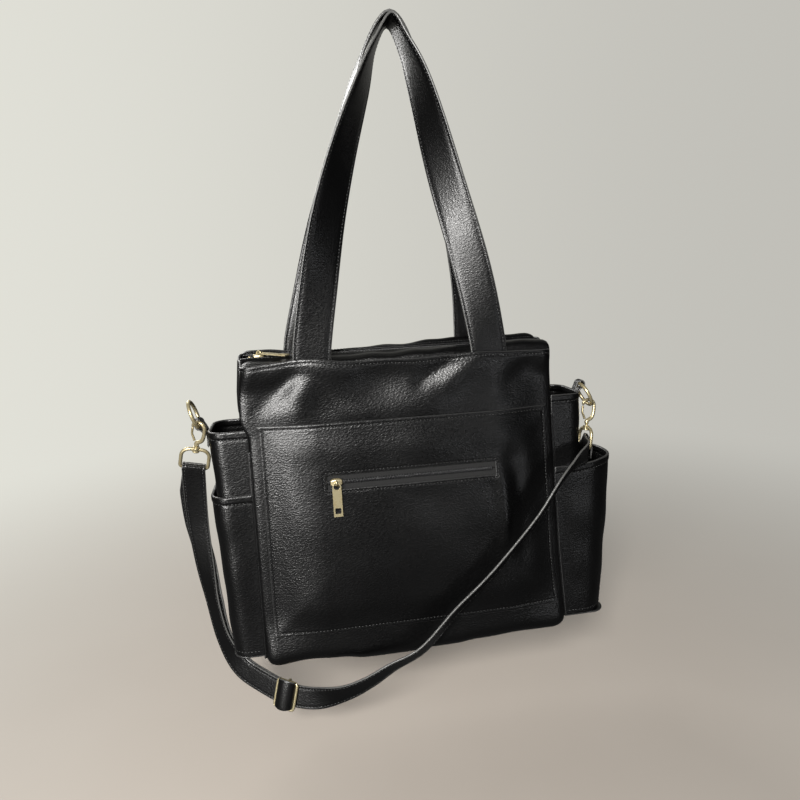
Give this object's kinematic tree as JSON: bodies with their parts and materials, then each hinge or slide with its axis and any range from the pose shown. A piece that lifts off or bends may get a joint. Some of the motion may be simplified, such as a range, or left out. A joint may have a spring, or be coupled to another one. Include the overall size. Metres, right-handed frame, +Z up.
{
  "type": "diaper bag",
  "caption": "Tote-style diaper bag with two long handles, a zipped top, a zipped front patch pocket, bottle pockets at both sides and a clip-on shoulder strap.",
  "frame": {"origin": "where a hook carries the handles, under the top of the handle loops", "axes": "+Z up, +X to the right across the bag seen from the front, +Y to the back"},
  "size_m": [0.5006, 0.1608, 0.7295],
  "materials": {
    "body_leather": "black pebbled faux leather",
    "strap_leather": "black pebbled faux leather, edge-stitched",
    "lining_cloth": "woven lining",
    "zip_tape": "woven zip tape",
    "zip_coil": "moulded coil",
    "gold_hardware": "polished light-gold plating",
    "base_board": "stiffener board"
  },
  "bodies": {
    "bag": {"front_panel": "body_leather", "back_panel": "body_leather", "left_gusset": "body_leather", "right_gusset": "body_leather", "base_panel": "body_leather", "base_board": "base_board", "lining": "lining_cloth", "front_handle_left_root": "strap_leather", "front_handle_right_root": "strap_leather", "rear_handle_left_root": "strap_leather", "rear_handle_right_root": "strap_leather", "front_zip_flap": "body_leather", "front_zip_tape": "zip_tape", "rear_zip_flap": "body_leather", "rear_zip_tape": "zip_tape", "main_zip_coil": "zip_coil", "main_zip_left_stop": "gold_hardware", "main_zip_right_stop": "gold_hardware", "patch_pocket": "body_leather", "upper_pocket_tape": "zip_tape", "lower_pocket_tape": "zip_tape", "pocket_zip_coil": "zip_coil", "left_bottle_pocket": "body_leather", "left_slip_pocket": "body_leather", "left_pocket_base": "body_leather", "right_bottle_pocket": "body_leather", "right_slip_pocket": "body_leather", "right_pocket_base": "body_leather", "left_ring_tab": "strap_leather", "right_ring_tab": "strap_leather"},
    "front_handle": {"front_handle": "strap_leather"},
    "rear_handle": {"rear_handle": "strap_leather"},
    "main_zip_slider": {"main_zip_slider": "gold_hardware"},
    "main_zip_pull": {"main_zip_pull": "gold_hardware"},
    "pocket_zip_slider": {"pocket_zip_slider": "gold_hardware"},
    "pocket_zip_pull": {"pocket_zip_pull": "gold_hardware"},
    "left_ring": {"left_ring": "gold_hardware"},
    "right_ring": {"right_ring": "gold_hardware"},
    "strap": {"shoulder_strap": "strap_leather", "strap_return": "strap_leather", "strap_slider": "gold_hardware", "left_strap_loop": "gold_hardware", "right_strap_loop": "gold_hardware"},
    "left_hook": {"left_hook": "gold_hardware"},
    "left_gate": {"left_gate": "gold_hardware"},
    "right_hook": {"right_hook": "gold_hardware"},
    "right_gate": {"right_gate": "gold_hardware"}
  },
  "joints": [
    {"name": "front_handle_fold", "type": "hinge", "parent": "bag", "child": "front_handle", "pos_m": [0, -0.0375, -0.33], "axis": [1, 0, 0], "range_deg": [0, 100]},
    {"name": "rear_handle_fold", "type": "hinge", "parent": "bag", "child": "rear_handle", "pos_m": [0, 0.0375, -0.33], "axis": [-1, 0, 0], "range_deg": [0, 100]},
    {"name": "main_zip_travel", "type": "slide", "parent": "bag", "child": "main_zip_slider", "axis": [1, 0, 0], "range_m": [0, 0.301]},
    {"name": "main_pull_flip", "type": "hinge", "parent": "main_zip_slider", "child": "main_zip_pull", "pos_m": [-0.1505, 0, -0.3253], "axis": [-0.5299, -0.848, 0], "range_deg": [0, 165]},
    {"name": "pocket_zip_travel", "type": "slide", "parent": "bag", "child": "pocket_zip_slider", "axis": [1, 0, 0], "range_m": [0, 0.158]},
    {"name": "pocket_pull_flip", "type": "hinge", "parent": "pocket_zip_slider", "child": "pocket_zip_pull", "pos_m": [-0.079, -0.05887, -0.45903], "axis": [-1, 0, 0], "range_deg": [0, 150]},
    {"name": "left_ring_turn", "type": "hinge", "parent": "bag", "child": "left_ring", "pos_m": [-0.22326, -0.00107, -0.38703], "axis": [-0.9563, 0, -0.2924], "continuous": true},
    {"name": "right_ring_turn", "type": "hinge", "parent": "bag", "child": "right_ring", "pos_m": [0.22261, 0, -0.39631], "axis": [0.8988, 0, 0.4384], "continuous": true},
    {"name": "strap_swing", "type": "hinge", "parent": "bag", "child": "strap", "pos_m": [0.0049, -0.00241, -0.40489], "axis": [-0.9997, -0.0108, 0.0199], "range_deg": [0, 15]},
    {"name": "left_hook_swivel", "type": "hinge", "parent": "strap", "child": "left_hook", "pos_m": [-0.22592, 0.00348, -0.42684], "axis": [-0.2372, 0.2915, -0.9267], "range_deg": [-20, 0]},
    {"name": "left_gate_spring", "type": "hinge", "parent": "left_hook", "child": "left_gate", "pos_m": [-0.22621, 0.0015, -0.4161], "axis": [0.4106, 0.8946, 0.1763], "range_deg": [0, 15], "stiffness_Nm_per_rad": 0.02, "springref_deg": -11.46},
    {"name": "right_hook_swivel", "type": "hinge", "parent": "strap", "child": "right_hook", "pos_m": [0.22372, -0.00499, -0.43691], "axis": [-0.184, -0.1752, -0.9672], "range_deg": [-20, 15]},
    {"name": "right_gate_spring", "type": "hinge", "parent": "right_hook", "child": "right_gate", "pos_m": [0.22256, -0.00306, -0.42623], "axis": [0, 0.984, -0.1783], "range_deg": [0, 15], "stiffness_Nm_per_rad": 0.02, "springref_deg": -11.46}
  ]
}
